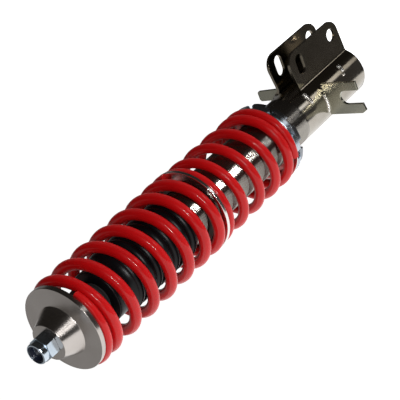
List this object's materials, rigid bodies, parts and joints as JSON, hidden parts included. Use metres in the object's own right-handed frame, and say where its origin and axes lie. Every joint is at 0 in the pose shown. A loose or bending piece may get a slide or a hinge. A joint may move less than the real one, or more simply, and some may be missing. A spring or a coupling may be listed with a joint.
{
  "type": "coilover suspension strut",
  "caption": "Threaded strut with a main and a helper coil spring, two-plate knuckle clevis, hose bracket, adjustable spring perch and a conical upper spring plate.",
  "frame": {"origin": "centre of the lower knuckle bolt hole, midway between the two knuckle plates", "axes": "+Z along the strut towards the top nut, +X from the strut axis out to the knuckle bolts, +Y along the knuckle bolts, away from the hose fork"},
  "size_m": [0.1102, 0.131, 0.5187],
  "materials": {
    "tube_steel": "drawn and zinc plated, satin gloss",
    "bracket_steel": "pressed sheet, zinc plated, satin",
    "small_bracket_steel": "cut sheet, zinc plated, satin",
    "weld_metal": "plated weld bead",
    "red_paint": "gloss powder coat",
    "blue_zinc": "turned, bluish zinc",
    "black_zinc": "turned, blackened",
    "turned_steel": "turned, zinc plated",
    "turned_aluminium": "turned, bright",
    "nut_zinc": "bright bluish zinc",
    "nut_insert": "locking insert",
    "rod_chrome": "hard chrome, polished",
    "inner_steel": "machined",
    "sintered_steel": "sintered, matt",
    "spring_steel": "smooth strip",
    "bush_bronze": "smooth bore",
    "band_plastic": "low-friction band",
    "seal_rubber": "oil seal rubber",
    "stop_foam": "micro-cellular foam",
    "boot_rubber": "moulded, satin"
  },
  "bodies": {
    "strut": {"strut_tube": "tube_steel", "tube_end_cap": "tube_steel", "knuckle_plate_left": "bracket_steel", "knuckle_plate_right": "bracket_steel", "bracket_welds": "weld_metal", "hose_bracket": "small_bracket_steel", "sensor_tab": "small_bracket_steel", "pressure_tube": "inner_steel", "base_valve": "sintered_steel", "base_valve_shims": "spring_steel", "base_valve_bolt": "inner_steel", "rod_guide": "sintered_steel", "guide_bush": "bush_bronze", "rod_seal": "seal_rubber", "gland_nut": "inner_steel", "rod_wiper": "seal_rubber", "dust_boot": "boot_rubber"},
    "piston_seal": {"piston_band": "band_plastic"},
    "rod": {"piston_rod": "rod_chrome", "piston": "sintered_steel", "compression_shims": "spring_steel", "rebound_shims": "spring_steel", "piston_nut": "inner_steel", "rebound_stop": "seal_rubber", "bump_stop": "stop_foam", "plate_washer": "inner_steel", "upper_spring_plate": "turned_steel", "top_nut": "nut_zinc", "nut_insert": "nut_insert"},
    "perch": {"slip_ring": "spring_steel", "helper_spring": "red_paint"},
    "adjuster": {"adjuster_collar": "blue_zinc"},
    "locker": {"lock_ring": "black_zinc"},
    "coupler": {"spring_coupler": "turned_aluminium", "main_spring": "red_paint"}
  },
  "joints": [
    {"name": "rod_slide", "type": "slide", "parent": "strut", "child": "piston_seal", "axis": [0, 0, -1], "range_m": [0, 0.11], "stiffness_N_per_m": 25000, "springref_m": -0.005, "deforming": ["main_spring", "dust_boot", "bump_stop"]},
    {"name": "rod_turn", "type": "hinge", "parent": "piston_seal", "child": "rod", "pos_m": [-0.051, 0, 0.24], "axis": [0, 0, 1], "continuous": true},
    {"name": "perch_travel", "type": "slide", "parent": "strut", "child": "perch", "axis": [0, 0, 1], "range_m": [-0.0241, 0]},
    {"name": "collar_turn", "type": "hinge", "parent": "perch", "child": "adjuster", "pos_m": [-0.051, 0, 0.138], "axis": [0, 0, 1], "range_deg": [-5760, 0]},
    {"name": "lock_ring_turn", "type": "hinge", "parent": "perch", "child": "locker", "pos_m": [-0.051, 0, 0.131], "axis": [0, 0, 1], "range_deg": [-5760, 0]},
    {"name": "coupler_slide", "type": "slide", "parent": "perch", "child": "coupler", "axis": [0, 0, -1], "range_m": [0, 0.0496], "deforming": ["helper_spring"]}
  ],
  "couplings": [
    {"joint": "perch_travel", "follows": "collar_turn", "m_per_rad": 0.00023873},
    {"joint": "lock_ring_turn", "follows": "collar_turn", "ratio": 1},
    {"joint": "coupler_slide", "follows": "rod_slide", "ratio": 0.45}
  ]
}
